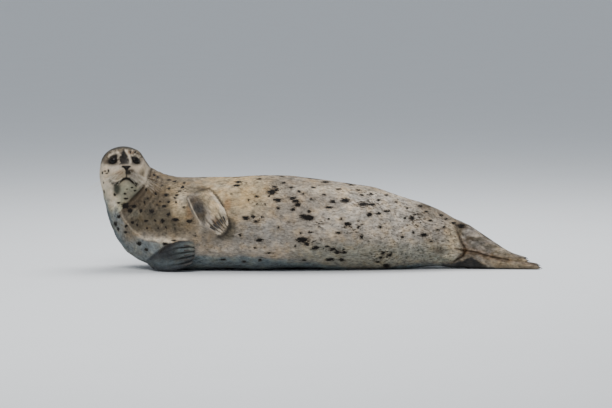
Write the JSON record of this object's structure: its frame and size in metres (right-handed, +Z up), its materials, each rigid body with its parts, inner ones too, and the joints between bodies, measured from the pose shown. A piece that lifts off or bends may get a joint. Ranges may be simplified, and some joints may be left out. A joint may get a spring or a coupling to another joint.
{
  "type": "harbour seal",
  "caption": "Life-size still model of a spotted harbour seal lying on its right side, belly to the front, head raised and turned to look over the belly.",
  "frame": {"origin": "on the floor, under the middle of the bounding box", "axes": "+X from head and chest to the tail and hind flippers, +Y from the belly to the back, +Z up"},
  "size_m": [1.7692, 0.4026, 0.4906],
  "materials": {
    "coat": "short flat fur over skin, tan-grey with dark spots",
    "eye": "wet and glossy, near black",
    "claw": "dark horn, satin"
  },
  "bodies": {
    "root": {"head": "coat", "lower_jaw": "coat", "neck": "coat", "chest": "coat", "belly": "coat", "hips": "coat", "tail": "coat", "foreflipper_left": "coat", "foreflipper_right": "coat", "hindflipper_left": "coat", "hindflipper_right": "coat", "eye_left": "eye", "eye_right": "eye", "foreclaw_left_5": "claw", "foreclaw_left_4": "claw", "foreclaw_left_3": "claw", "foreclaw_left_2": "claw", "foreclaw_left_1": "claw", "foreclaw_right_5": "claw", "foreclaw_right_4": "claw", "foreclaw_right_3": "claw", "foreclaw_right_2": "claw", "foreclaw_right_1": "claw", "hindclaw_left_5": "claw", "hindclaw_left_4": "claw", "hindclaw_left_3": "claw", "hindclaw_left_2": "claw", "hindclaw_left_1": "claw", "hindclaw_right_5": "claw", "hindclaw_right_4": "claw", "hindclaw_right_3": "claw", "hindclaw_right_2": "claw", "hindclaw_right_1": "claw"}
  },
  "joints": []
}
